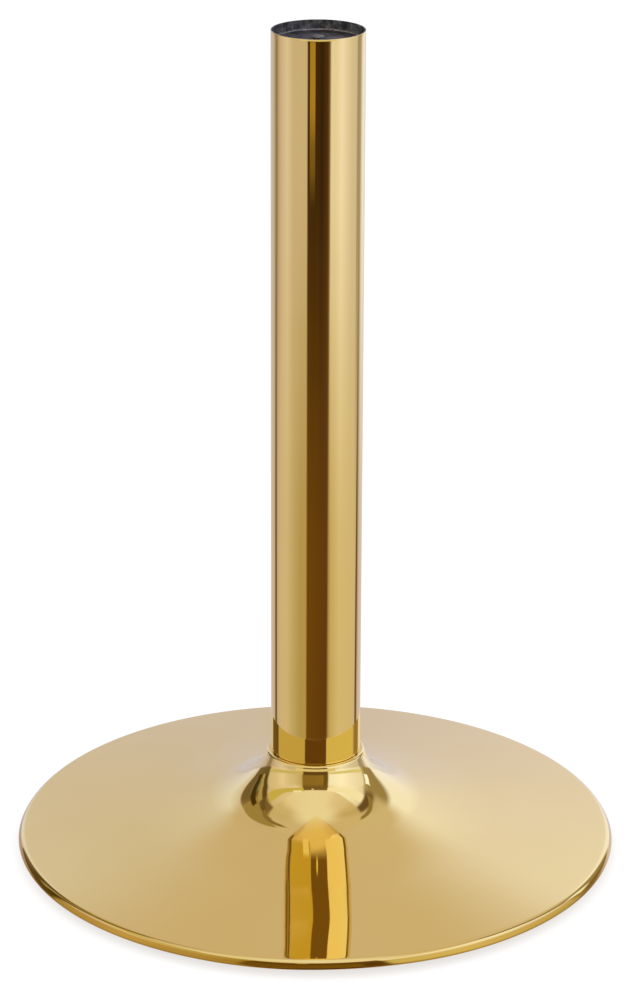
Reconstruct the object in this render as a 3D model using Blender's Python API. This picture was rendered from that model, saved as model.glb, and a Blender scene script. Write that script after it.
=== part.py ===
"""Pedestal post: a polished tube on a round trumpet foot, clamped together by one long tie rod.

The foot is a pressed sheet-metal skin over a cast-iron ballast, which stands on four screw
glides. The frame is metres, +Z up, with the origin on the floor at the post's axis.
"""

import math

import bmesh
import bpy
from mathutils import Vector

# Driving dimensions, in metres.
BASE_RADIUS = 0.255
COLUMN_RADIUS = 0.038
OVERALL_HEIGHT = 0.707
GAP = 0.0003  # the clearance between two pieces that touch

# Trumpet skin.
SHEET = 0.0015
RIM_CLEARANCE = 0.0061  # the rim's height above the floor
CURL_RADIUS = 0.0018  # the rim's lower edge, where the sheet turns under
BEVEL_RADIUS = 0.014  # the rim's face
BEVEL_ANGLES = (50, 65)  # slope of the rim's face at its top and bottom, in degrees
EDGE_RADIUS = 0.0062  # the bend from the cone into the rim
FLANGE_REACH = 0.012  # the turned-under edge
CONE_ANGLE = math.radians(9)
NECK_TOP = 0.085
NECK_RADIUS = 0.0420
NECK_ANGLE = math.radians(80)  # slope of the skin just under the neck's lip
NECK_BENDS = ((0.0355, 43), (0.090, 14))  # radius of each bend down the neck, and its last slope
LIP_RADIUS = 0.0025
LEDGE_BORE = 0.0075

# Column.
COLUMN_WALL = 0.0012
GASKET = 0.0006
TOP_RECESS = 0.008  # depth of the top plug's face below the tube's rim
TOP_PLUG = 0.006
FOOT_PLUG = 0.012

# Tie rod and its fasteners, M10.
ROD_RADIUS = 0.005
ROD_HOLE = 0.0055
ROD_STAND = 0.003  # the rod's end above the top plug's face
NUT_FLATS = 0.017
NUT_HEIGHT = 0.008
WASHER_RADIUS = 0.015
WASHER = 0.0025
SPRING_RADIUS = 0.0090
SPRING_WASHER = 0.0022
SPLIT_WIDTH = 0.0012

# Ballast casting.
BALLAST_RADIUS = 0.226
BALLAST_BOTTOM = 0.0085
BALLAST_TOP = 0.0225
SKIN_GAP = 0.0015  # between the casting and the skin's inside
HUB_RADIUS = 0.036
HUB_TOP = 0.050
POCKET_RADIUS = 0.022
SPACER_RADIUS = 0.030
SPACER_WALL = 0.004

# Glides.
GLIDE_COUNT = 4
GLIDE_CIRCLE = 0.180
STUD_RADIUS = 0.004
STUD_HOLE = 0.0044
STUD_TOP = 0.0190
HEX_FLATS = 0.013
HEX_BOTTOM = 0.0051
SPIGOT_RADIUS = 0.003
PAD_RADIUS = 0.017
PAD_TOP = 0.0048
PAD_SOCKET = 0.0034
PAD_FLOOR = 0.0016

# Facets round a turned piece.
FINE = 60
ROUND = 36
SMALL = 18

# Heights worked out from the above.
LEDGE_BOTTOM = NECK_TOP - SHEET
GASKET_BOTTOM = NECK_TOP + GAP
COLUMN_BOTTOM = NECK_TOP + GAP
FOOT_PLUG_BOTTOM = GASKET_BOTTOM + GASKET + GAP
TOP_PLUG_FACE = OVERALL_HEIGHT - TOP_RECESS
POCKET_TOP = BALLAST_BOTTOM + GAP + NUT_HEIGHT + SPRING_WASHER + WASHER + 4 * GAP
ROD_BOTTOM = BALLAST_BOTTOM - 0.002


def material(name, colour, roughness, metallic):
    """One Principled material for each finish."""
    made = bpy.data.materials.get(name)
    if made is None:
        made = bpy.data.materials.new(name)
        made.use_nodes = True
        shader = made.node_tree.nodes["Principled BSDF"]
        shader.inputs["Base Color"].default_value = (*colour, 1)
        shader.inputs["Roughness"].default_value = roughness
        shader.inputs["Metallic"].default_value = metallic
    return made


def polished_gold():
    return material("polished_gold", (0.86, 0.62, 0.24), 0.05, 1.0)


def raw_steel():
    return material("raw_steel", (0.20, 0.19, 0.20), 0.45, 1.0)


def zinc_steel():
    return material("zinc_steel", (0.62, 0.62, 0.60), 0.30, 1.0)


def cast_iron():
    return material("cast_iron", (0.05, 0.05, 0.055), 0.60, 0.0)


def black_rubber():
    return material("black_rubber", (0.02, 0.02, 0.02), 0.80, 0.0)


def black_nylon():
    return material("black_nylon", (0.03, 0.03, 0.03), 0.45, 0.0)


def arc(centre, radius, start, end, steps):
    """Points (radius, height) of an arc, from one angle to another in degrees."""
    angles = [math.radians(start + (end - start) * i / steps) for i in range(steps + 1)]
    return [Vector((centre[0] + radius * math.cos(a), centre[1] + radius * math.sin(a))) for a in angles]


def link(name, mesh_data, finish, smooth_below=30):
    """Puts a bmesh into the scene as a named object with one material."""
    bmesh.ops.recalc_face_normals(mesh_data, faces=mesh_data.faces)
    mesh = bpy.data.meshes.new(name)
    mesh_data.to_mesh(mesh)
    mesh_data.free()
    mesh.materials.append(finish)
    mesh.shade_smooth()
    mesh.set_sharp_from_angle(angle=math.radians(smooth_below))
    obj = bpy.data.objects.new(name, mesh)
    bpy.context.scene.collection.objects.link(obj)
    return obj


def turned(name, outline, finish, segments=ROUND, at=(0, 0)):
    """A body of revolution: a closed outline of (radius, height) points spun round the Z axis."""
    made = bmesh.new()
    points = [made.verts.new((r, 0, z)) for r, z in outline]
    edges = [made.edges.new((a, b)) for a, b in zip(points, points[1:] + points[:1])]
    geometry = points + edges
    full_turn = 2 * math.pi
    bmesh.ops.spin(
        made, geom=geometry, cent=(0, 0, 0), axis=(0, 0, 1), angle=full_turn, steps=segments, use_merge=True
    )
    bmesh.ops.remove_doubles(made, verts=made.verts, dist=1e-6)
    on_axis = [edge for edge in made.edges if all(math.hypot(v.co.x, v.co.y) < 1e-7 for v in edge.verts)]
    bmesh.ops.delete(made, geom=on_axis, context="EDGES")
    obj = link(name, made, finish)
    obj.location = (*at, 0)
    return obj


def ring(name, inner, outer, bottom, top, finish, segments=ROUND, at=(0, 0)):
    """A plain ring, or a disc where the inner radius is nought."""
    outline = [(inner, bottom), (outer, bottom), (outer, top), (inner, top)]
    return turned(name, outline, finish, segments, at)


def hexagon(name, flats, bottom, top, finish, at=(0, 0)):
    """A hexagonal prism, given across its flats."""
    made = bmesh.new()
    rim = bmesh.ops.create_circle(made, cap_ends=True, segments=6, radius=flats / math.sqrt(3))["verts"]
    bmesh.ops.translate(made, verts=rim, vec=(0, 0, bottom))
    sides = bmesh.ops.extrude_face_region(made, geom=list(made.faces))["geom"]
    lifted = [v for v in sides if isinstance(v, bmesh.types.BMVert)]
    bmesh.ops.translate(made, verts=lifted, vec=(0, 0, top - bottom))
    obj = link(name, made, finish)
    obj.location = (*at, 0)
    return obj


def as_helper(obj):
    obj.hide_render = True
    obj.display_type = "WIRE"
    return obj


def combine(obj, helper, operation):
    """Joins a helper to a piece, or cuts it out of it."""
    step = obj.modifiers.new(helper.name, "BOOLEAN")
    step.object = as_helper(helper)
    step.operation = operation
    step.solver = "EXACT"


def slope_normal(degrees):
    """The outward direction, across and up, of a face that falls at this slope."""
    slope = math.radians(degrees)
    return Vector((math.sin(slope), math.cos(slope)))


def rim_outline(depth, steps):
    """The rim's face, at a depth in the sheet, from the cone's edge to under the curl."""
    top, bottom = BEVEL_ANGLES
    cone = math.degrees(CONE_ANGLE)
    curl_centre = Vector((BASE_RADIUS - CURL_RADIUS, RIM_CLEARANCE + CURL_RADIUS))
    bevel_centre = curl_centre + (CURL_RADIUS - BEVEL_RADIUS) * slope_normal(bottom)
    edge_centre = bevel_centre + (BEVEL_RADIUS - EDGE_RADIUS) * slope_normal(top)
    edge = arc(edge_centre, EDGE_RADIUS - depth, 90 - cone, 90 - top, steps)
    bevel = arc(bevel_centre, BEVEL_RADIUS - depth, 90 - top, 90 - bottom, 2)
    curl = arc(curl_centre, CURL_RADIUS - depth, 90 - bottom, -90, steps)
    return [*edge, *bevel[1:], *curl[1:]]


def cone_start(start, slope, edge):
    """Radius of the last bend, which leaves start at its slope and runs into the cone that ends at edge."""
    cone = math.degrees(CONE_ANGLE)
    across, rise = slope_normal(slope) - slope_normal(cone)
    drop = start[1] - edge[1] - (edge[0] - start[0]) * math.tan(CONE_ANGLE)
    return drop / (-rise - across * math.tan(CONE_ANGLE))


def skin_outline():
    """The skin's outer face, from the ledge's bore over the neck and down the cone to its edge."""
    edge = rim_outline(0, 4)[0]
    slope = math.degrees(NECK_ANGLE)
    lip_centre = Vector((NECK_RADIUS - LIP_RADIUS, NECK_TOP - LIP_RADIUS))
    outline = [Vector((LEDGE_BORE, NECK_TOP)), *arc(lip_centre, LIP_RADIUS, 90, 90 - slope, 2)]
    for radius, last_slope in NECK_BENDS:
        centre = outline[-1] + radius * slope_normal(slope)
        outline += arc(centre, radius, 270 - slope, 270 - last_slope, 5)[1:]
        slope = last_slope
    radius = cone_start(outline[-1], slope, edge)
    centre = outline[-1] + radius * slope_normal(slope)
    outline += arc(centre, radius, 270 - slope, 270 - math.degrees(CONE_ANGLE), 4)[1:]
    return [*outline, edge]


def inset(outline, distance):
    """The outline moved by a distance to its right-hand side, which is into the skin's metal."""
    moved = []
    for before, point, after in zip(outline, outline[1:], outline[2:]):
        along = ((point - before).normalized() + (after - point).normalized()).normalized()
        spread = along.dot((point - before).normalized())
        moved.append(point + Vector((along[1], -along[0])) * distance / spread)
    return moved


def make_base_shell():
    """The trumpet skin, one sheet thick, with its edge rolled under."""
    outer = skin_outline()
    below_lip = [p for p in inset(outer, SHEET) if p[1] < LEDGE_BOTTOM]
    flange = BASE_RADIUS - FLANGE_REACH
    outline = [
        *outer,
        *rim_outline(0, 4)[1:],
        Vector((flange, RIM_CLEARANCE)),
        Vector((flange, RIM_CLEARANCE + SHEET)),
        *reversed(rim_outline(SHEET, 4)),
        *reversed(below_lip),
        Vector((below_lip[0][0], LEDGE_BOTTOM)),
        Vector((LEDGE_BORE, LEDGE_BOTTOM)),
    ]
    return turned("base_shell", outline, polished_gold(), FINE)


def skin_inside(radius, clearance):
    """Height of the cone's inner face at a radius, less a clearance."""
    edge = rim_outline(0, 4)[0]
    cone = edge[1] + (edge[0] - radius) * math.tan(CONE_ANGLE)
    return cone - (SHEET + clearance) / math.cos(CONE_ANGLE)


def glide_places():
    for i in range(GLIDE_COUNT):
        turn = math.radians(45 + 360 * i / GLIDE_COUNT)
        yield i + 1, (GLIDE_CIRCLE * math.cos(turn), GLIDE_CIRCLE * math.sin(turn))


def make_ballast():
    """The cast-iron weight: a plate whose edge follows the skin, with a hub, nut pocket and stud holes."""
    edge_top = skin_inside(BALLAST_RADIUS, SKIN_GAP)
    # The plate's flat top runs out to where it would come within the skin's clearance.
    flat_radius = BALLAST_RADIUS - (BALLAST_TOP - edge_top) / math.tan(CONE_ANGLE)
    outline = [
        (POCKET_RADIUS, BALLAST_BOTTOM),
        (BALLAST_RADIUS, BALLAST_BOTTOM),
        (BALLAST_RADIUS, edge_top),
        (flat_radius, BALLAST_TOP),
        (HUB_RADIUS + 0.006, BALLAST_TOP),
        (HUB_RADIUS, BALLAST_TOP + 0.006),
        (HUB_RADIUS - 0.001, HUB_TOP),
        (ROD_HOLE + 0.001, HUB_TOP),
        (ROD_HOLE + 0.001, POCKET_TOP),
        (POCKET_RADIUS, POCKET_TOP),
    ]
    ballast = turned("ballast", outline, cast_iron(), FINE)
    for number, place in glide_places():
        drill = ring(f"stud_drill_{number}", 0, STUD_HOLE, 0, HUB_TOP, cast_iron(), SMALL, place)
        combine(ballast, drill, "DIFFERENCE")
    return ballast


def make_anti_rattle_ring():
    """A soft strip that keeps the skin off the ballast's sloping edge."""
    inner, outer = BALLAST_RADIUS - 0.012, BALLAST_RADIUS - 0.001
    outline = [
        (inner, skin_inside(inner, SKIN_GAP - GAP)),
        (outer, skin_inside(outer, SKIN_GAP - GAP)),
        (outer, skin_inside(outer, GAP)),
        (inner, skin_inside(inner, GAP)),
    ]
    return turned("anti_rattle_ring", outline, black_rubber(), FINE)


def make_column():
    """The polished tube, its two welded plugs and the gasket under the foot plug."""
    bore = COLUMN_RADIUS - COLUMN_WALL
    edge = 0.0004  # the chamfer on the tube's ends
    outline = [
        (bore, COLUMN_BOTTOM),
        (COLUMN_RADIUS - edge, COLUMN_BOTTOM),
        (COLUMN_RADIUS, COLUMN_BOTTOM + edge),
        (COLUMN_RADIUS, OVERALL_HEIGHT - edge),
        (COLUMN_RADIUS - edge, OVERALL_HEIGHT),
        (bore, OVERALL_HEIGHT),
    ]
    turned("column_tube", outline, polished_gold(), FINE)
    fit = bore - GAP
    foot_top = FOOT_PLUG_BOTTOM + FOOT_PLUG
    ring("column_foot_plug", ROD_HOLE, fit, FOOT_PLUG_BOTTOM, foot_top, raw_steel(), FINE)
    ring("column_top_plug", ROD_HOLE, fit, TOP_PLUG_FACE - TOP_PLUG, TOP_PLUG_FACE, raw_steel(), FINE)
    gasket_top = GASKET_BOTTOM + GASKET
    ring("neck_gasket", LEDGE_BORE, fit, GASKET_BOTTOM, gasket_top, black_rubber(), FINE)


def make_nut(name, bottom):
    """An M10 nut, bored to clear the rod."""
    nut = hexagon(name, NUT_FLATS, bottom, bottom + NUT_HEIGHT, zinc_steel())
    drill = ring(f"{name}_drill", 0, ROD_RADIUS + GAP, 0, OVERALL_HEIGHT, zinc_steel(), SMALL)
    combine(nut, drill, "DIFFERENCE")
    return nut


def washer_split(height):
    """The slanted cut through one side of the spring washer."""
    bpy.ops.mesh.primitive_cube_add(size=1, location=(SPRING_RADIUS, 0, height + SPRING_WASHER / 2))
    cutter = bpy.context.active_object
    cutter.name = "washer_split"
    cutter.scale = (SPRING_RADIUS, SPLIT_WIDTH, 4 * SPRING_WASHER)
    cutter.rotation_euler = (math.radians(25), 0, 0)
    return cutter


def make_tie_rod():
    """The rod that pulls the top plug down to the ballast, and its nuts and washers."""
    top = TOP_PLUG_FACE + ROD_STAND
    chamfer = 0.0008
    outline = [
        (0, ROD_BOTTOM),
        (ROD_RADIUS - chamfer, ROD_BOTTOM),
        (ROD_RADIUS, ROD_BOTTOM + chamfer),
        (ROD_RADIUS, top - chamfer),
        (ROD_RADIUS - chamfer, top),
        (0, top),
    ]
    turned("tie_rod", outline, zinc_steel(), SMALL)
    make_nut("top_weld_nut", TOP_PLUG_FACE - TOP_PLUG - GAP - NUT_HEIGHT)
    nut_bottom = BALLAST_BOTTOM + GAP
    make_nut("rod_nut", nut_bottom)
    spring_bottom = nut_bottom + NUT_HEIGHT + GAP
    spring_top = spring_bottom + SPRING_WASHER
    spring = ring("spring_washer", ROD_HOLE, SPRING_RADIUS, spring_bottom, spring_top, zinc_steel(), ROUND)
    combine(spring, washer_split(spring_bottom), "DIFFERENCE")
    washer_bottom = spring_top + GAP
    washer_top = washer_bottom + WASHER
    ring("flat_washer", ROD_HOLE, WASHER_RADIUS, washer_bottom, washer_top, zinc_steel(), ROUND)


def make_neck_spacer():
    """The pipe that carries the column's load from the neck's ledge to the ballast's hub."""
    bore = SPACER_RADIUS - SPACER_WALL
    ring("neck_spacer", bore, SPACER_RADIUS, HUB_TOP + GAP, LEDGE_BOTTOM - GAP, raw_steel(), ROUND)


def make_glide(number, place):
    """One screw glide: a stud with a hexagon to turn it by, and the nylon pad that it turns in."""
    outline = [
        (0, PAD_FLOOR + GAP),
        (SPIGOT_RADIUS, PAD_FLOOR + GAP),
        (SPIGOT_RADIUS, HEX_BOTTOM + 0.001),
        (STUD_RADIUS, HEX_BOTTOM + 0.002),
        (STUD_RADIUS, STUD_TOP - 0.0006),
        (STUD_RADIUS - 0.0006, STUD_TOP),
        (0, STUD_TOP),
    ]
    stud = turned(f"glide_stud_{number}", outline, zinc_steel(), SMALL, place)
    hex_top = BALLAST_BOTTOM - GAP
    hex_head = hexagon(f"glide_hex_{number}", HEX_FLATS, HEX_BOTTOM, hex_top, zinc_steel(), place)
    combine(stud, hex_head, "UNION")
    pad_outline = [
        (0, 0),
        (PAD_RADIUS - 0.0015, 0),
        *arc((PAD_RADIUS - 0.0015, 0.0015), 0.0015, -60, 0, 2),
        (PAD_RADIUS, 0.0026),
        (PAD_RADIUS - 0.004, PAD_TOP - 0.0004),
        (PAD_SOCKET + 0.003, PAD_TOP),
        (PAD_SOCKET, PAD_TOP),
        (PAD_SOCKET, PAD_FLOOR),
        (0, PAD_FLOOR),
    ]
    turned(f"glide_pad_{number}", pad_outline, black_nylon(), SMALL, place)


def clear_scene():
    for obj in list(bpy.data.objects):
        bpy.data.objects.remove(obj)


def main():
    clear_scene()
    make_base_shell()
    make_ballast()
    make_anti_rattle_ring()
    make_neck_spacer()
    make_column()
    make_tie_rod()
    for number, place in glide_places():
        make_glide(number, place)


main()
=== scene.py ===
"""The looks of the gold pedestal post: mirror-gold skin and tube, raw steel inside, a plain pale studio."""

import math

import bmesh
import bpy
from mathutils import Matrix, Vector, noise


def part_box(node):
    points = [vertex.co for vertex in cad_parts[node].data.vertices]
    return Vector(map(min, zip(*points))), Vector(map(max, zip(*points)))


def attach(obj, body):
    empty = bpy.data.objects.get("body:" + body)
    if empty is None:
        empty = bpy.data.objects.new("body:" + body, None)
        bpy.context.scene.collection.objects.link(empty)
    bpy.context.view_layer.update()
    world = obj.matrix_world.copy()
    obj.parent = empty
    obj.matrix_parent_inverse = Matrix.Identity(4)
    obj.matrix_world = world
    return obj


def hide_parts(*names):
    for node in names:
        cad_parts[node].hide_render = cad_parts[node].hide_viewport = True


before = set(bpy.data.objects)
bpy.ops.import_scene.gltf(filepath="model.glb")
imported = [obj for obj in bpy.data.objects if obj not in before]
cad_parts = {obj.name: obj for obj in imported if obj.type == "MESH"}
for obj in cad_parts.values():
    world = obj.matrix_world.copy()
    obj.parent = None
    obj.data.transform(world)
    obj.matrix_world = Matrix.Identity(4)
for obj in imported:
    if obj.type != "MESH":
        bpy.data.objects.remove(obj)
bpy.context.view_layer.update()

# Sizes in metres, in the CAD frame.
SHEET = 0.0015  # thickness of the foot's skin
CURL_RADIUS = 0.0018  # the rim's lower edge
BEVEL_RADIUS = 0.014  # the rim's face
EDGE_RADIUS = 0.0062  # the bend from the cone into the rim
BEVEL_SLOPES = (50, 65)  # slope of the rim's face at its top and bottom, in degrees
CONE_SLOPE = 9
HEM_WIDTH = 0.012
NECK_RADIUS = 0.0420
NECK_SLOPE = 80  # under the neck's lip
NECK_BENDS = ((0.0355, 43), (0.090, 14))  # radius of each bend down the neck, and its last slope
LIP_RADIUS = 0.0025
LEDGE_BORE = 0.0075
TUBE_WALL = 0.0012
TUBE_EDGE = 0.0003
WELD_RADIUS = 0.0015
ROD_RADIUS = 0.005
ROD_HOLE = 0.0055
STUD_RADIUS = 0.004
SPIGOT_RADIUS = 0.003
PAD_SOCKET = 0.0034
PAD_FLOOR = 0.0016
ROD_PITCH = 0.0015
LOWER_THREAD = 0.040  # length of the rod's thread at its foot
UPPER_THREAD = 0.030
THREAD_DEPTH = 0.61  # of the pitch
GLIDE_PITCH = 0.00125
GLIDES = 4
GAP = 0.0003  # between pieces that touch

AROUND = 256  # facets round the polished skins
STEEL_AROUND = 72

GOLD_DEEP = (0.91, 0.69, 0.24)
GOLD_PALE = (0.93, 0.71, 0.26)
# Painted shade: a darker gold laid on the rim's steep face, standing in for the dark reflection there.
GOLD_RIM_PAINTED_SHADE = (0.60, 0.36, 0.05)
RIM_FACE = 0.0118  # height of the top of the rim's steep face
SWELL = 0.35  # strength of the polished metal's slight waviness
LEAN = 0.024  # how far the cone leans to one side along its front line
LEAN_WIDTH = 0.065  # half the width of the stretch that leans
RIPPLE = 0.00003  # height of the cone's swells
RIPPLE_WIDTH = 0.09
TRUE_NECK = 0.06  # radius within which the skin is true
FULL_LEAN = 0.11  # radius from which the cone leans fully
EASE_RADIUS = 0.20  # radius from which the lean eases off
EASE_WIDTH = 0.055
RIM_EASE = 0.6  # the share of the lean that is gone at the rim

# Brightness round the studio by compass angle: 0 is the camera's side, positive to its right.
# The rings stack from below the floor's edge up to the ceiling.
UNDERFOOT = [
    (-180, (0.72, 0.68, 0.83)), (-131, (0.60, 0.55, 0.68)), (-127, (0.16, 0.10, 0.06)),
    (-121, (0.14, 0.09, 0.05)), (-117, (0.60, 0.57, 0.66)), (-100, (0.68, 0.61, 0.71)),
    (-80, (0.68, 0.63, 0.66)), (-60, (0.57, 0.51, 0.46)), (-40, (0.48, 0.41, 0.27)),
    (-26, (0.50, 0.40, 0.24)), (-23, (0.16, 0.08, 0.01)), (27, (0.13, 0.06, 0.02)),
    (31, (0.44, 0.32, 0.17)), (36, (0.60, 0.52, 0.40)), (60, (0.72, 0.67, 0.63)),
    (105, (0.69, 0.64, 0.63)), (118, (0.66, 0.60, 0.65)), (121, (0.13, 0.08, 0.05)),
    (126, (0.13, 0.08, 0.05)), (130, (0.45, 0.40, 0.47)), (138, (0.68, 0.63, 0.80)),
    (180, (0.72, 0.68, 0.83)),
]
LOW = [
    (-180, (0.66, 0.66, 0.82)), (-140, (0.60, 0.60, 0.84)), (-131, (0.52, 0.50, 0.66)),
    (-124, (0.32, 0.26, 0.26)), (-117, (0.32, 0.27, 0.27)), (-112, (0.52, 0.46, 0.57)),
    (-100, (0.65, 0.61, 0.85)), (-80, (0.78, 0.76, 1.05)), (-62, (0.64, 0.60, 0.74)),
    (-27, (0.64, 0.59, 0.68)), (-24, (0.06, 0.03, 0.01)), (-8, (0.05, 0.025, 0.01)),
    (0, (0.06, 0.03, 0.01)), (10, (0.04, 0.02, 0.01)), (24, (0.08, 0.045, 0.02)),
    (29, (0.25, 0.15, 0.09)), (32, (0.84, 0.86, 1.17)), (45, (0.86, 0.87, 1.14)),
    (60, (0.96, 1.00, 1.53)), (75, (0.84, 0.86, 1.24)), (90, (0.73, 0.74, 1.03)),
    (108, (0.68, 0.68, 0.94)), (113, (0.38, 0.35, 0.39)), (126, (0.44, 0.42, 0.50)),
    (132, (0.75, 0.78, 1.18)), (142, (1.00, 1.08, 1.50)), (155, (0.85, 0.90, 1.20)),
    (180, (0.66, 0.66, 0.82)),
]
LEVEL = [
    (-180, (0.65, 0.63, 0.80)), (-168, (0.68, 0.67, 0.87)), (-152, (0.82, 0.90, 1.40)),
    (-143.5, (0.70, 0.70, 0.92)), (-142, (0.20, 0.14, 0.09)), (-112, (0.14, 0.12, 0.06)),
    (-108, (0.70, 0.65, 0.71)), (-90, (0.76, 0.71, 0.78)), (-75, (0.88, 0.83, 1.01)),
    (-60, (0.76, 0.71, 0.79)), (-45, (0.70, 0.65, 0.68)), (-30, (0.61, 0.52, 0.39)),
    (-27, (0.26, 0.18, 0.06)), (17, (0.30, 0.21, 0.06)), (20, (0.16, 0.10, 0.02)),
    (27, (0.18, 0.12, 0.04)), (30, (1.00, 1.10, 1.65)), (60, (1.10, 1.20, 1.89)),
    (90, (0.96, 1.00, 1.47)), (110, (0.89, 0.92, 1.30)), (114, (0.55, 0.50, 0.47)),
    (120, (0.36, 0.30, 0.20)), (140, (0.34, 0.28, 0.18)), (145, (1.00, 1.10, 1.70)),
    (158, (1.00, 1.08, 1.60)), (168, (0.82, 0.84, 1.20)), (180, (0.65, 0.63, 0.80)),
]
RAISED = [
    (-180, (0.66, 0.59, 0.61)), (-150, (0.63, 0.56, 0.58)), (-143.5, (0.64, 0.58, 0.57)),
    (-141, (0.30, 0.23, 0.12)), (-129, (0.25, 0.18, 0.09)), (-114, (0.20, 0.14, 0.07)),
    (-109, (0.67, 0.62, 0.63)), (-90, (0.77, 0.72, 0.78)), (-60, (0.80, 0.77, 0.90)),
    (-45, (0.85, 0.84, 1.06)), (-31, (0.66, 0.60, 0.47)), (-28, (0.20, 0.13, 0.05)),
    (28, (0.20, 0.13, 0.05)), (31, (0.90, 0.92, 1.10)), (45, (1.00, 1.05, 1.50)),
    (60, (1.05, 1.12, 1.60)), (90, (1.00, 1.08, 1.50)), (110, (0.85, 0.87, 1.18)),
    (115, (0.15, 0.10, 0.05)), (124, (0.15, 0.10, 0.05)), (129, (0.60, 0.54, 0.50)),
    (140, (0.66, 0.61, 0.60)), (180, (0.66, 0.59, 0.61)),
]
OVERHEAD = [
    (-180, (0.65, 0.58, 0.55)), (-150, (0.66, 0.60, 0.59)), (-125, (0.62, 0.56, 0.50)),
    (-100, (0.66, 0.60, 0.53)),
    (-80, (0.83, 0.80, 0.89)), (-50, (0.86, 0.87, 1.04)), (0, (0.89, 0.90, 1.07)),
    (40, (0.87, 0.87, 1.00)), (60, (0.80, 0.76, 0.83)), (90, (0.75, 0.69, 0.68)),
    (105, (0.66, 0.58, 0.50)), (118, (0.58, 0.50, 0.40)),
    (135, (0.66, 0.59, 0.52)), (180, (0.65, 0.58, 0.55)),
]
ZENITH = (0.87, 0.89, 1.05)
# The heights over which each ring takes over from the one below it.
STACK = [(-22, -14, LOW), (-3, 1, LEVEL), (33, 44, RAISED)]
OVERHEAD_START = (50, 53)
ZENITH_START = (70, 84)
SIDE_RISE = 8.0  # how much higher the softboxes' tops are at the sides
SIDES = (28, 75)  # the compass angles over which they rise
# Compass range, height range and brightness of smaller things in the studio.
PATCHES = [
    ((-19.5, -6.5), (-14.4, -6), (0.42, 0.28, 0.06)),  # a strip of card in the front gap
    ((-110, -27), (3, 9.5), (0.62, 0.60, 0.42)),  # the left softbox's dim foot
    ((28, 112), (3, 9.5), (0.76, 0.78, 0.60)),  # the right softbox's foot
    ((-110, -28), (44.5, 54), (0.62, 0.56, 0.22)),  # the left softbox's amber head
    ((29, 112), (44.5, 54), (0.99, 1.06, 1.38)),  # the right softbox's head
    ((-26, 27), (1, 11), (0.14, 0.08, 0.03)),  # the foot of the front gap
    ((-45, 45), (-4.5, 1.5), (0.80, 0.75, 0.62)),  # the near edge of the table
    ((-56, -34), (51, 56), (0.95, 1.00, 1.20)),  # the left softbox's lip
    ((-9, -4), (47.5, 50.5), (0.95, 0.92, 0.83)),  # a small lamp in the front gap
    ((116, 124), (12, 30), (1.10, 1.30, 2.12)),  # a slit of light on the right
    ((-134, -124), (20, 34), (0.22, 0.26, 0.24)),  # something green on the left
]
# Compass and height of a dark streak's two ends, its half width and brightness.
STREAKS = [
    ((-131, 40), (-143, 62), 10.0, (0.36, 0.29, 0.15)),
    ((-115, 12), (-115, 46), 3.0, (0.12, 0.08, 0.03)),
    ((-121.5, 12), (-121.5, 46), 2.5, (0.44, 0.38, 0.22)),
    ((-130, 12), (-130, 46), 3.0, (0.07, 0.04, 0.01)),
    ((-117, 46), (-126, 56), 4.0, (0.16, 0.11, 0.05)),
    ((-127, 55), (-150, 66), 4.5, (0.26, 0.19, 0.09)),
    ((119, 42), (138, 60), 3.5, (0.30, 0.23, 0.11)),
]
SOFT_LIGHT = 1.04  # brightness of the room, for matt surfaces
FLOOR_RADIUS = 30
FLOOR_GREY = 0.35
FLOOR_GLOW = 0.70

# Camera, in metres and degrees.
CAMERA_PLACE = Vector((0, -2.6473, 1.2855))
CAMERA_PITCH = 20.147
CAMERA_ROLL = 0.2316
CAMERA_YAW = 0.0254
FOCAL_LENGTH = 123.28


# ---------------------------------------------------------------- materials


class Shader:
    """A short way to write a material's nodes."""

    def __init__(self, tree):
        self.tree = tree

    def add(self, kind, **settings):
        """A node. A setting is a property of the node, or one of its input sockets."""
        node = self.tree.nodes.new("ShaderNode" + kind)
        for name, value in settings.items():
            if hasattr(node, name):
                setattr(node, name, value)
            else:
                self.put(node.inputs[name.replace("_", " ")], value)
        return node

    def put(self, socket, value):
        if isinstance(value, bpy.types.NodeSocket):
            self.tree.links.new(value, socket)
        else:
            socket.default_value = value

    def maths(self, operation, first, second=0.0, clamp=False):
        node = self.add("Math", operation=operation, use_clamp=clamp)
        self.put(node.inputs[0], first)
        self.put(node.inputs[1], second)
        return node.outputs[0]

    def ramp(self, value, stops):
        """A colour ramp of (place, colour) stops."""
        node = self.add("ValToRGB")
        self.put(node.inputs[0], value)
        made = node.color_ramp
        while len(made.elements) < len(stops):
            made.elements.new(1.0)
        for element, (place, _) in zip(made.elements, stops):
            element.position = place
        for element, (_, colour) in zip(made.elements, stops):
            element.color = (*colour, 1)
        return node.outputs[0]

    def mix(self, amount, first, second):
        node = self.add("Mix", data_type="RGBA")
        self.put(node.inputs[0], amount)
        self.put(node.inputs[6], first if isinstance(first, bpy.types.NodeSocket) else (*first, 1))
        self.put(node.inputs[7], second if isinstance(second, bpy.types.NodeSocket) else (*second, 1))
        return node.outputs[2]

    def noise(self, scale, detail=2.0, roughness=0.5, stretch=None):
        place = self.add("TexCoord").outputs["Object"]
        if stretch:
            mapping = self.add("Mapping", Scale=stretch)
            self.put(mapping.inputs[0], place)
            place = mapping.outputs[0]
        node = self.add("TexNoise", Scale=scale, Detail=detail, Roughness=roughness)
        self.put(node.inputs["Vector"], place)
        return node.outputs[0]


def material(name, roughness=0.4, metallic=0.0, colour=(0.5, 0.5, 0.5)):
    """A new Principled material, with its writer and its shader node."""
    made = bpy.data.materials.new(name)
    made.use_nodes = True
    writer = Shader(made.node_tree)
    shader = made.node_tree.nodes["Principled BSDF"]
    shader.inputs["Base Color"].default_value = (*colour, 1)
    shader.inputs["Roughness"].default_value = roughness
    shader.inputs["Metallic"].default_value = metallic
    return made, writer, shader


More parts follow.
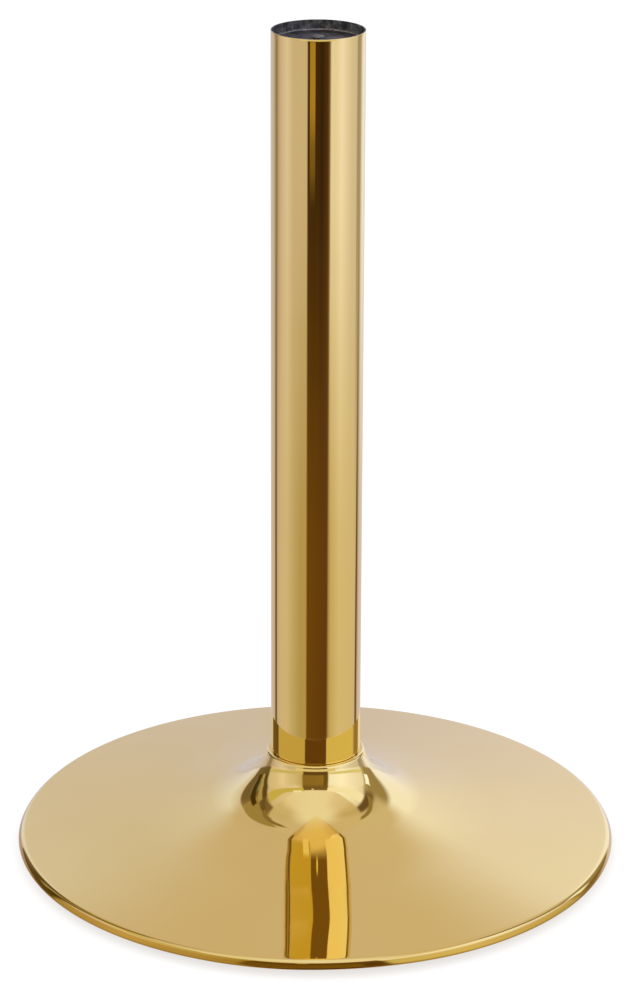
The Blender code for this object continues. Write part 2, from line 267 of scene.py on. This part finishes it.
def bump(writer, shader, height, distance, strength=1.0):
    node = writer.add("Bump", Strength=strength, Distance=distance)
    writer.put(node.inputs["Height"], height)
    writer.put(shader.inputs["Normal"], node.outputs[0])


def polished_gold():
    """Mirror gold, with a slight swell in the metal and faint wiping marks."""
    made, writer, shader = material("polished_gold", 0.03, 1.0)
    tone = writer.noise(9.0, 3.0)
    writer.put(shader.inputs["Base Color"], writer.ramp(tone, [(0.3, GOLD_DEEP), (0.7, GOLD_PALE)]))
    wiping = writer.noise(40.0, 5.0, 0.6, (1, 1, 0.35))
    rough = writer.add("MapRange")
    for socket, value in zip(rough.inputs, (wiping, 0.35, 0.75, 0.015, 0.045)):
        writer.put(socket, value)
    writer.put(shader.inputs["Roughness"], rough.outputs[0])
    bump(writer, shader, writer.noise(22.0, 0.0), 0.00025, SWELL)
    return made


def rim_gold_painted_shade():
    """The same gold, with painted shade on the rim's steep face: a darker gold laid below its top that
    stands in for the dark reflection there.
    """
    made = polished_gold()
    made.name = "rim_gold_painted_shade"
    writer = Shader(made.node_tree)
    shader = made.node_tree.nodes["Principled BSDF"]
    place = writer.add("SeparateXYZ")
    writer.put(place.inputs[0], writer.add("TexCoord").outputs["Object"])
    # Mask of the painted shade: the gold turns darker below the top of the rim's steep face.
    depth = writer.add("MapRange", interpolation_type="SMOOTHSTEP")
    for socket, value in zip(depth.inputs, (place.outputs[2], RIM_FACE + 0.0006, RIM_FACE - 0.0008)):
        writer.put(socket, value)
    plain = shader.inputs["Base Color"].links[0].from_socket
    writer.put(shader.inputs["Base Color"], writer.mix(depth.outputs[0], plain, GOLD_RIM_PAINTED_SHADE))
    return made


def raw_steel():
    """Dark mill-scale steel with heat tints."""
    made, writer, shader = material("raw_steel", 0.5, 0.85)
    tone = writer.noise(90.0, 8.0, 0.65)
    stops = [(0.25, (0.018, 0.017, 0.017)), (0.5, (0.06, 0.055, 0.054)), (0.75, (0.20, 0.18, 0.16))]
    writer.put(shader.inputs["Base Color"], writer.ramp(tone, stops))
    rough = writer.ramp(writer.noise(260.0, 4.0), [(0.3, (0.3,) * 3), (0.7, (0.65,) * 3)])
    writer.put(shader.inputs["Roughness"], rough)
    bump(writer, shader, writer.noise(700.0, 6.0, 0.7), 0.0004, 0.6)
    return made


def bore_steel():
    """The tube's bare inside: mottled grey with bright grains of weld spatter."""
    made, writer, shader = material("bore_steel", 0.5, 0.7)
    tone = writer.noise(150.0, 9.0, 0.75, (1, 1, 0.8))
    stops = [
        (0.32, (0.02, 0.02, 0.02)), (0.47, (0.09, 0.092, 0.095)), (0.60, (0.27, 0.27, 0.26)),
        (0.70, (0.66, 0.62, 0.50)),
    ]
    writer.put(shader.inputs["Base Color"], writer.ramp(tone, stops))
    rough = writer.ramp(writer.noise(260.0, 4.0), [(0.3, (0.35,) * 3), (0.7, (0.65,) * 3)])
    writer.put(shader.inputs["Roughness"], rough)
    bump(writer, shader, writer.noise(500.0, 6.0, 0.7), 0.0005, 0.7)
    return made


def oiled_steel():
    """The rod's dull, oily steel."""
    made, writer, shader = material("oiled_steel", 0.45, 0.9)
    tone = writer.noise(200.0, 6.0, 0.6)
    stops = [(0.3, (0.10,) * 3), (0.7, (0.24, 0.23, 0.21))]
    writer.put(shader.inputs["Base Color"], writer.ramp(tone, stops))
    bump(writer, shader, writer.noise(1200.0, 4.0), 0.0001, 0.4)
    return made


def weld_metal():
    """A bright, uneven weld run."""
    made, writer, shader = material("weld_metal", 0.35, 0.9)
    tone = writer.noise(500.0, 6.0, 0.7)
    stops = [(0.3, (0.05, 0.05, 0.06)), (0.55, (0.30, 0.28, 0.25)), (0.8, (0.62, 0.58, 0.50))]
    writer.put(shader.inputs["Base Color"], writer.ramp(tone, stops))
    bump(writer, shader, writer.noise(900.0, 6.0, 0.7), 0.0005, 0.8)
    return made


def zinc_steel():
    """Bright zinc plate, clouded and fine-grained."""
    made, writer, shader = material("zinc_steel", 0.3, 1.0)
    tone = writer.noise(160.0, 6.0, 0.6)
    stops = [(0.3, (0.42, 0.43, 0.44)), (0.7, (0.68, 0.68, 0.66))]
    writer.put(shader.inputs["Base Color"], writer.ramp(tone, stops))
    rough = writer.ramp(writer.noise(420.0, 3.0), [(0.3, (0.22,) * 3), (0.7, (0.42,) * 3)])
    writer.put(shader.inputs["Roughness"], rough)
    bump(writer, shader, writer.noise(1500.0, 4.0), 0.0001, 0.4)
    return made


def cast_iron():
    """Black paint over sand-cast iron."""
    made, writer, shader = material("cast_iron", 0.55, 0.0)
    tone = writer.noise(60.0, 8.0, 0.65)
    stops = [(0.3, (0.014, 0.014, 0.016)), (0.6, (0.030, 0.030, 0.032)), (0.78, (0.065, 0.058, 0.052))]
    writer.put(shader.inputs["Base Color"], writer.ramp(tone, stops))
    rough = writer.ramp(writer.noise(300.0, 4.0), [(0.3, (0.42,) * 3), (0.7, (0.7,) * 3)])
    writer.put(shader.inputs["Roughness"], rough)
    bump(writer, shader, writer.noise(420.0, 8.0, 0.7), 0.0012, 0.7)
    return made


def black_rubber():
    made, writer, shader = material("black_rubber", 0.75, 0.0)
    stops = [(0.3, (0.012, 0.012, 0.012)), (0.7, (0.028, 0.027, 0.026))]
    writer.put(shader.inputs["Base Color"], writer.ramp(writer.noise(240.0, 5.0), stops))
    bump(writer, shader, writer.noise(900.0, 3.0), 0.0002, 0.4)
    return made


def black_nylon():
    """Moulded nylon, with a faint spark-eroded grain."""
    made, writer, shader = material("black_nylon", 0.45, 0.0)
    stops = [(0.3, (0.016, 0.016, 0.018)), (0.7, (0.032, 0.032, 0.034))]
    writer.put(shader.inputs["Base Color"], writer.ramp(writer.noise(130.0, 4.0), stops))
    rough = writer.ramp(writer.noise(500.0, 3.0), [(0.3, (0.36,) * 3), (0.7, (0.52,) * 3)])
    writer.put(shader.inputs["Roughness"], rough)
    bump(writer, shader, writer.noise(2400.0, 2.0), 0.00008, 0.5)
    return made


# ---------------------------------------------------------------- meshes


def arc(centre, radius, start, end, steps):
    """Points (radius, height) of an arc, from one angle to another in degrees."""
    angles = [math.radians(start + (end - start) * i / steps) for i in range(steps + 1)]
    return [Vector((centre[0] + radius * math.cos(a), centre[1] + radius * math.sin(a))) for a in angles]


def line(start, end, step):
    """Points along a straight run, without its last one."""
    count = max(1, round((Vector(end) - Vector(start)).length / step))
    return [Vector(start).lerp(Vector(end), i / count) for i in range(count)]


def lathe(name, outline, around, finishes, sharp=38, warp=None, finish_of=None):
    """A closed body of revolution about Z, from a closed outline of (radius, height) points.

    warp moves a point (x, y, z); finish_of picks a finish by an outline side's number.
    """
    made = bmesh.new()
    rings = []
    for r, z in outline:
        count = around if r > 1e-7 else 1
        turns = [2 * math.pi * i / around for i in range(count)]
        places = [Vector((r * math.cos(a), r * math.sin(a), z)) for a in turns]
        rings.append([made.verts.new(warp(p) if warp else p) for p in places])
    for side, (low, high) in enumerate(zip(rings, rings[1:] + rings[:1])):
        for i in range(around):
            j = (i + 1) % around
            corners = [low[i % len(low)], low[j % len(low)], high[j % len(high)], high[i % len(high)]]
            corners = list(dict.fromkeys(corners))
            if len(corners) > 2:
                face = made.faces.new(corners)
                face.material_index = finish_of(side) if finish_of else 0
    bmesh.ops.recalc_face_normals(made, faces=made.faces)
    mesh = bpy.data.meshes.new(name)
    made.to_mesh(mesh)
    made.free()
    for finish in finishes:
        mesh.materials.append(finish)
    mesh.shade_smooth()
    mesh.set_sharp_from_angle(angle=math.radians(sharp))
    obj = bpy.data.objects.new(name, mesh)
    bpy.context.scene.collection.objects.link(obj)
    return obj


def slope_normal(degrees):
    """The outward direction, across and up, of a face that falls at this slope."""
    slope = math.radians(degrees)
    return Vector((math.sin(slope), math.cos(slope)))


def rim_outline(rim, bottom, depth, steps):
    """The rim's face, at a depth in the sheet, from the cone's edge to under the curl."""
    first, last = BEVEL_SLOPES
    curl_centre = Vector((rim - CURL_RADIUS, bottom + CURL_RADIUS))
    bevel_centre = curl_centre + (CURL_RADIUS - BEVEL_RADIUS) * slope_normal(last)
    edge_centre = bevel_centre + (BEVEL_RADIUS - EDGE_RADIUS) * slope_normal(first)
    edge = arc(edge_centre, EDGE_RADIUS - depth, 90 - CONE_SLOPE, 90 - first, steps)
    bevel = arc(bevel_centre, BEVEL_RADIUS - depth, 90 - first, 90 - last, steps)
    curl = arc(curl_centre, CURL_RADIUS - depth, 90 - last, -90, steps)
    return [*edge, *bevel[1:], *curl[1:]]


def skin_outline(edge, top):
    """The skin's outer face, from the neck's lip down the cone to its edge."""
    slope = NECK_SLOPE
    outline = arc((NECK_RADIUS - LIP_RADIUS, top - LIP_RADIUS), LIP_RADIUS, 90, 90 - slope, 10)
    for radius, last_slope in NECK_BENDS:
        centre = outline[-1] + radius * slope_normal(slope)
        outline += arc(centre, radius, 270 - slope, 270 - last_slope, 28)[1:]
        slope = last_slope
    fall = math.tan(math.radians(CONE_SLOPE))
    across, rise = slope_normal(slope) - slope_normal(CONE_SLOPE)
    drop = outline[-1][1] - edge[1] - (edge[0] - outline[-1][0]) * fall
    radius = drop / (-rise - across * fall)
    centre = outline[-1] + radius * slope_normal(slope)
    lower = arc(centre, radius, 270 - slope, 270 - CONE_SLOPE, 20)
    return [*outline, *lower[1:-1], *line(lower[-1], edge, 0.004), edge]


def inset(outline, distance):
    """The outline moved into the skin's metal, which is on its right-hand side."""
    moved = []
    for before, point, after in zip(outline, outline[1:], outline[2:]):
        along = ((point - before).normalized() + (after - point).normalized()).normalized()
        moved.append(point + Vector((along[1], -along[0])) * distance)
    return moved


def spun_skin(point):
    """The skin is not quite true: it leans and swells a little under the polish."""
    reach = math.hypot(point.x, point.y)
    if reach < TRUE_NECK:
        return point
    near_rim = max(0, reach - EASE_RADIUS) / EASE_WIDTH
    fade = min(1, (reach - TRUE_NECK) / (FULL_LEAN - TRUE_NECK), 1 - RIM_EASE * near_rim)
    front = max(0, -point.y / reach) ** 2
    lean = LEAN * front * point.x * math.exp(-((point.x / LEAN_WIDTH) ** 2))
    swell = math.sin(70 * point.y + 60 * point.x) * math.exp(-((point.x / RIPPLE_WIDTH) ** 2))
    return point + Vector((0, 0, fade * (lean + RIPPLE * swell)))


def make_skin(gold, inside):
    """The trumpet skin: polished outside, dull inside, with a bevelled rim and a hem under it."""
    low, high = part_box("base_shell")
    bore = LEDGE_BORE
    rim = rim_outline(high.x, low.z, 0, 12)
    outer = skin_outline(rim[0], high.z)
    ledge = high.z - SHEET
    under = [p for p in inset(outer, SHEET) if p[1] < ledge - 0.001]
    hem = high.x - HEM_WIDTH + 0.0007
    flange = line(rim[-1], (hem, low.z), 0.003)[1:]
    turned_in = arc((hem, low.z + SHEET / 2), SHEET / 2, -90, -270, 8)
    outline = [Vector((bore, high.z)), *line((bore + 0.004, high.z), outer[0], 0.006), *outer]
    outline += [*rim[1:], *flange, *turned_in]
    polished = len(outline)
    outline += [*reversed(rim_outline(high.x, low.z, SHEET, 6)), *reversed(under)]
    outline += [Vector((under[0][0] - 0.0008, ledge)), Vector((bore, ledge))]
    skin = lathe(
        "foot_skin", outline, AROUND, [gold, inside], warp=spun_skin,
        sharp=30, finish_of=lambda side: int(side >= polished),
    )
    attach(skin, "base")
    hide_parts("base_shell")


def make_tube(gold, bore_steel):
    """The polished column, with a small radius on its ends and a dull bore."""
    low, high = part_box("column_tube")
    outer = high.x
    bore = outer - TUBE_WALL
    edge = TUBE_EDGE
    outline = [Vector((bore, low.z)), *arc((outer - edge, low.z + edge), edge, -90, 0, 4)]
    outline += line((outer, low.z + 0.004), (outer, high.z - 0.004), 0.02)
    outline += [Vector((outer, high.z - 0.004)), *arc((outer - edge, high.z - edge), edge, 0, 90, 4)]
    gold_sides = len(outline) - 1
    outline += [Vector((bore, high.z))]
    outline += [Vector((bore, high.z - 0.002)), Vector((bore, low.z + 0.002))]
    tube = lathe(
        "column", outline, AROUND, [gold, bore_steel], finish_of=lambda side: int(side >= gold_sides)
    )
    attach(tube, "base")
    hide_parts("column_tube")


def rough_up(point, scale, height):
    """Lifts a point along Z by noise."""
    return point + Vector((0, 0, height * noise.fractal(point * scale, 0.8, 2.2, 4)))


def make_top_plug(steel, weld):
    """The recessed plate and the weld that holds it."""
    low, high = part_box("column_top_plug")
    outer = high.x
    bore = ROD_HOLE
    edge = 0.0006
    outline = [Vector((bore, low.z)), Vector((outer, low.z)), Vector((outer, high.z - edge))]
    outline += [Vector((outer - edge, high.z))]
    outline += line((outer - 2 * edge, high.z), (bore + edge, high.z), 0.0015)
    outline += [Vector((bore + edge, high.z)), Vector((bore, high.z - edge))]
    plug = lathe("top_plug", outline, STEEL_AROUND * 2, [steel], warp=plug_face(high.z - 0.0001))
    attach(plug, "base")
    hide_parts("column_top_plug")
    run = outer + 0.0002 - WELD_RADIUS * 0.6
    bead = arc((run, high.z - WELD_RADIUS * 0.2), WELD_RADIUS, 200, -20, 10)
    made = lathe("top_weld", bead, 180, [weld], sharp=60, warp=weld_ripple(run, high.z))
    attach(made, "base")


def plug_face(level):
    def warp(point):
        return rough_up(point, 260.0, 0.00018) if point.z > level else point

    return warp


def weld_ripple(run, level):
    """The weld's overlapping ripples, and its uneven width."""

    def warp(point):
        turn = math.atan2(point.y, point.x)
        ripple = 0.00022 * math.sin(turn * 95 + 2.0 * noise.noise(point * 90.0))
        swell = 0.0007 * noise.noise(Vector((3 * math.cos(turn), 3 * math.sin(turn), 0.5)))
        across = math.hypot(point.x, point.y)
        off = Vector((across - run, point.z - level))
        factor = 1 + (ripple + swell) / WELD_RADIUS if off[1] > -0.0002 else 1
        across = min(run + off[0] * factor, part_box("column_tube")[1].x - TUBE_WALL + 0.0003)
        height = level + off[1] * factor
        return Vector((across * math.cos(turn), across * math.sin(turn), height))

    return warp


def saw(turns):
    """A triangle wave between nought and one."""
    phase = turns % 1.0
    return 2 * min(phase, 1 - phase)


def threading(centre, radius, pitch, bottom, top):
    """Cuts a screw thread of this pitch into a round bar, fading out at its ends."""

    def warp(point):
        away = Vector((point.x - centre[0], point.y - centre[1]))
        if away.length < radius * 0.93 or not bottom < point.z < top:
            return point
        turn = math.atan2(away.y, away.x) / (2 * math.pi)
        fade = min(1, (point.z - bottom) / pitch, (top - point.z) / pitch)
        cut = THREAD_DEPTH * pitch * fade * (1 - saw(point.z / pitch - turn))
        away *= (radius - cut) / away.length
        return Vector((centre[0] + away.x, centre[1] + away.y, point.z))

    return warp


def bar_outline(radius, bottom, top, chamfer, runs):
    """A round bar's outline; runs lists the (low, high, step) stretches that need fine rings."""
    outline = [Vector((0, bottom)), Vector((radius - chamfer, bottom)), Vector((radius, bottom + chamfer))]
    for low, high, step in runs:
        outline += line((radius, low), (radius, high), step)
    return [*outline, Vector((radius, top - chamfer)), Vector((radius - chamfer, top)), Vector((0, top))]


def make_tie_rod(steel):
    """The rod, threaded at both ends."""
    low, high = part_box("tie_rod")
    radius = high.x
    step = ROD_PITCH / 6
    chamfer = 0.0008
    lower_end = low.z + LOWER_THREAD
    upper_start = high.z - UPPER_THREAD
    runs = [
        (low.z + chamfer + step, lower_end, step),
        (lower_end + 0.01, upper_start - 0.01, 0.1),
        (upper_start, high.z - chamfer - step, step),
    ]
    lower = threading((0, 0), radius, ROD_PITCH, low.z + chamfer, lower_end)
    upper = threading((0, 0), radius, ROD_PITCH, upper_start, high.z - chamfer)
    outline = bar_outline(radius, low.z, high.z, chamfer, runs)
    rod = lathe("tie_rod_threaded", outline, 36, [steel], sharp=50, warp=lambda p: upper(lower(p)))
    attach(rod, "base")
    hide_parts("tie_rod")


def hexagonal(centre, flats, round_radius, bottom, top):
    """Turns a round blank of radius round_radius into a hexagon with chamfered corners."""

    def warp(point):
        away = Vector((point.x - centre[0], point.y - centre[1]))
        if away.length < round_radius * 0.999 or not bottom - 1e-6 <= point.z <= top + 1e-6:
            return point
        turn = math.atan2(away.y, away.x)
        sixth = math.pi / 3
        off = (turn + 10 * sixth) % sixth - sixth / 2
        reach = flats / 2 / math.cos(off)
        # The chamfer is a 30 degree cone that starts from the flats' circle on each face.
        fall = (reach - flats / 2) * math.tan(math.radians(30))
        z = min(max(point.z, bottom + fall), top - fall)
        away *= reach / away.length
        return Vector((centre[0] + away.x, centre[1] + away.y, z))

    return warp


def make_nut(node, name, zinc):
    """A chamfered hexagon nut with a countersunk bore."""
    low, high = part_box(node)
    flats = min(high.x - low.x, high.y - low.y)
    blank = flats / 2
    bore = ROD_RADIUS + GAP
    sink = 0.0007
    outline = [Vector((bore + sink, low.z)), Vector((blank - 0.0004, low.z)), Vector((blank, low.z))]
    outline += [Vector((blank, high.z)), Vector((blank - 0.0004, high.z)), Vector((bore + sink, high.z))]
    outline += [Vector((bore, high.z - sink)), Vector((bore, low.z + sink))]
    warp = hexagonal((0, 0), flats, blank, low.z, high.z)
    nut = lathe(name, outline, STEEL_AROUND, [zinc], sharp=25, warp=warp)
    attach(nut, "base")
    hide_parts(node)


def make_washer(node, name, zinc):
    """A washer with broken edges."""
    low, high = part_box(node)
    outer = high.x
    edge = 0.0003
    outline = [Vector((ROD_HOLE, low.z)), Vector((outer - edge, low.z)), Vector((outer, low.z + edge))]
    outline += [Vector((outer, high.z - edge)), Vector((outer - edge, high.z)), Vector((ROD_HOLE, high.z))]
    washer = lathe(name, outline, STEEL_AROUND, [zinc], sharp=30)
    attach(washer, "base")
    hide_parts(node)


def make_glide(number, zinc, nylon):
    """A screw glide: threaded stud with a hexagon, and the moulded pad it turns in."""
    low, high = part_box(f"glide_stud_{number}")
    centre = ((low.x + high.x) / 2, (low.y + high.y) / 2)
    pad_low, pad_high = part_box(f"glide_pad_{number}")
    hex_bottom = pad_high.z + GAP
    hex_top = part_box("ballast")[0].z - GAP
    flats = min(high.x - low.x, high.y - low.y)
    step = GLIDE_PITCH / 6
    spigot = SPIGOT_RADIUS
    outline = [(0, low.z), (spigot - 0.0004, low.z), (spigot, low.z + 0.0004), (spigot, hex_bottom)]
    outline += [(flats / 2 - 0.0004, hex_bottom), (flats / 2, hex_bottom), (flats / 2, hex_top)]
    outline += [(flats / 2 - 0.0004, hex_top), (STUD_RADIUS, hex_top)]
    outline += line((STUD_RADIUS, hex_top + 0.0004), (STUD_RADIUS, high.z - 0.0006), step)
    outline += [(STUD_RADIUS - 0.0006, high.z), (0, high.z)]
    thread = threading((0, 0), STUD_RADIUS, GLIDE_PITCH, hex_top + 0.0003, high.z - 0.0005)
    head = hexagonal((0, 0), flats, flats / 2, hex_bottom, hex_top)
    stud = lathe(f"glide_screw_{number}", outline, 48, [zinc], sharp=25, warp=lambda p: head(thread(p)))
    stud.data.transform(Matrix.Translation((*centre, 0)))
    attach(stud, f"glide_{number}_stud")
    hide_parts(f"glide_stud_{number}")

    radius = (pad_high.x - pad_low.x) / 2
    base = [(0, 0.0003), (0.006, 0.0003), (0.0066, 0), (radius - 0.0042, 0), (radius - 0.0038, 0.0003)]
    base += [(radius - 0.0030, 0.0003), (radius - 0.0026, 0)]
    edge = arc((radius - 0.0015, 0.0015), 0.0015, -90, 0, 6)
    crown = arc((radius - 0.0012, 0.0026), 0.0012, 0, 60, 5)
    collar = [(PAD_SOCKET + 0.0032, pad_high.z - 0.0009), (PAD_SOCKET + 0.0028, pad_high.z)]
    socket = [(PAD_SOCKET + 0.0003, pad_high.z), (PAD_SOCKET, pad_high.z - 0.0003), (PAD_SOCKET, PAD_FLOOR)]
    outline = [*base, *edge, *crown, *collar, *socket, (0, PAD_FLOOR)]
    pad = lathe(f"glide_foot_{number}", outline, 48, [nylon], sharp=35)
    pad.data.transform(Matrix.Translation((*centre, 0)))
    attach(pad, f"glide_{number}_pad")
    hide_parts(f"glide_pad_{number}")


# ---------------------------------------------------------------- studio


def finish_carried_nodes(finishes):
    """Gives the CAD nodes that stay on show their own materials."""
    for node, finish in finishes.items():
        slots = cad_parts[node].material_slots
        for slot in slots:
            slot.material = finish


def make_world():
    """A pale room for the eye and for soft light; softboxes, gaps and a wall for the reflections."""
    world = bpy.data.worlds.new("studio")
    world.use_nodes = True
    world.node_tree.nodes.clear()
    w = Shader(world.node_tree)
    direction = w.add("SeparateXYZ")
    w.put(direction.inputs[0], w.add("TexCoord").outputs["Generated"])
    x, y, z = direction.outputs
    compass = w.maths("MULTIPLY", w.maths("ARCTAN2", x, w.maths("MULTIPLY", y, -1.0)), 180 / math.pi)
    place = w.maths("ADD", w.maths("DIVIDE", compass, 360.0), 0.5)
    height = w.maths("MULTIPLY", w.maths("ARCSINE", z), 180 / math.pi)

    def ring(stops):
        return w.ramp(place, [(angle / 360 + 0.5, colour) for angle, colour in stops])

    def rise(value, low, high):
        """Rises from nought to one between two values."""
        node = w.add("MapRange", interpolation_type="SMOOTHSTEP")
        for socket, setting in zip(node.inputs, (value, low, high, 0.0, 1.0)):
            w.put(socket, setting)
        return node.outputs[0]

    def patch(studio, compass_range, height_range, colour, soft=1.0):
        """Lays a patch of one colour over part of the studio."""
        mask = w.maths("MULTIPLY", rise(compass, compass_range[0] - soft, compass_range[0] + soft),
                       rise(compass, compass_range[1] + soft, compass_range[1] - soft))
        tall = w.maths("MULTIPLY", rise(height, height_range[0] - soft, height_range[0] + soft),
                       rise(height, height_range[1] + soft, height_range[1] - soft))
        return w.mix(w.maths("MULTIPLY", mask, tall), studio, colour)

    def streak(studio, start, end, half, colour):
        """Lays a slanting streak over the studio."""
        slant = (end[0] - start[0]) / (end[1] - start[1])
        middle = w.maths("ADD", w.maths("MULTIPLY", w.maths("SUBTRACT", height, start[1]), slant), start[0])
        off = w.maths("ABSOLUTE", w.maths("SUBTRACT", compass, middle))
        tall = w.maths("MULTIPLY", rise(height, start[1] - 1, start[1] + 1),
                       rise(height, end[1] + 1, end[1] - 1))
        return w.mix(w.maths("MULTIPLY", rise(off, half + 1, half - 1), tall), studio, colour)

    aside = rise(w.maths("ABSOLUTE", compass), *SIDES)
    tops = w.maths("SUBTRACT", height, w.maths("MULTIPLY", aside, SIDE_RISE))
    studio = ring(UNDERFOOT)
    for low, high, stops in STACK:
        studio = w.mix(rise(height, low, high), studio, ring(stops))
    studio = w.mix(rise(tops, *OVERHEAD_START), studio, ring(OVERHEAD))
    studio = w.mix(rise(height, *ZENITH_START), studio, ZENITH)
    for compass_range, height_range, colour in PATCHES:
        studio = patch(studio, compass_range, height_range, colour)
    for start, end, half, colour in STREAKS:
        studio = streak(studio, start, end, half, colour)

    path = w.add("LightPath")
    soft = w.mix(path.outputs["Is Diffuse Ray"], studio, (SOFT_LIGHT,) * 3)
    shown = w.mix(path.outputs["Is Camera Ray"], soft, (1.0, 1.0, 1.0))
    background = w.add("Background", Color=shown, Strength=1.0)
    output = w.add("OutputWorld")
    w.put(output.inputs[0], background.outputs[0])
    world.cycles.sampling_method = "NONE"
    bpy.context.scene.world = world


def make_floor():
    """A pale floor, lit from within like a light table, that fades into the room."""
    made = bmesh.new()
    bmesh.ops.create_circle(made, cap_ends=True, segments=96, radius=FLOOR_RADIUS)
    mesh = bpy.data.meshes.new("floor")
    made.to_mesh(mesh)
    made.free()
    floor = bpy.data.objects.new("floor", mesh)
    bpy.context.scene.collection.objects.link(floor)
    pale, writer, shader = material("pale_floor", 0.9, 0.0, (FLOOR_GREY,) * 3)
    shader.inputs["Specular IOR Level"].default_value = 0.0
    shader.inputs["Emission Color"].default_value = (1, 1, 1, 1)
    shader.inputs["Emission Strength"].default_value = FLOOR_GLOW
    # From below, the floor is clear.
    cut = writer.add("MixShader")
    writer.put(cut.inputs[0], writer.add("NewGeometry").outputs["Backfacing"])
    writer.put(cut.inputs[1], shader.outputs[0])
    writer.put(cut.inputs[2], writer.add("BsdfTransparent").outputs[0])
    writer.put(pale.node_tree.nodes["Material Output"].inputs["Surface"], cut.outputs[0])
    mesh.materials.append(pale)
    floor.visible_glossy = False


def make_camera():
    """The camera, aimed by its pitch, with a slight roll and turn."""
    camera = bpy.data.objects.new("camera", bpy.data.cameras.new("camera"))
    camera.data.lens = FOCAL_LENGTH
    camera.data.sensor_width = 36
    camera.data.sensor_fit = "AUTO"
    pitch = Matrix.Rotation(math.radians(90 - CAMERA_PITCH), 4, "X")
    turn = Matrix.Rotation(math.radians(CAMERA_YAW), 4, "Y")
    roll = Matrix.Rotation(math.radians(CAMERA_ROLL), 4, "Z")
    camera.matrix_world = Matrix.Translation(CAMERA_PLACE) @ pitch @ turn @ roll
    bpy.context.scene.collection.objects.link(camera)
    bpy.context.scene.camera = camera


def main():
    gold = polished_gold()
    steel = raw_steel()
    zinc = zinc_steel()
    iron = cast_iron()
    rubber = black_rubber()
    nylon = black_nylon()
    make_skin(rim_gold_painted_shade(), steel)
    make_tube(gold, bore_steel())
    make_top_plug(steel, weld_metal())
    make_tie_rod(oiled_steel())
    make_nut("top_weld_nut", "top_nut", zinc)
    make_nut("rod_nut", "foot_nut", zinc)
    make_washer("flat_washer", "plain_washer", zinc)
    for number in range(1, GLIDES + 1):
        make_glide(number, zinc, nylon)
    finish_carried_nodes({
        "ballast": iron,
        "spring_washer": zinc,
        "anti_rattle_ring": rubber,
        "neck_spacer": steel,
        "neck_gasket": rubber,
        "column_foot_plug": steel,
    })
    make_world()
    make_floor()
    make_camera()
    bpy.context.scene.view_settings.view_transform = "Standard"


main()
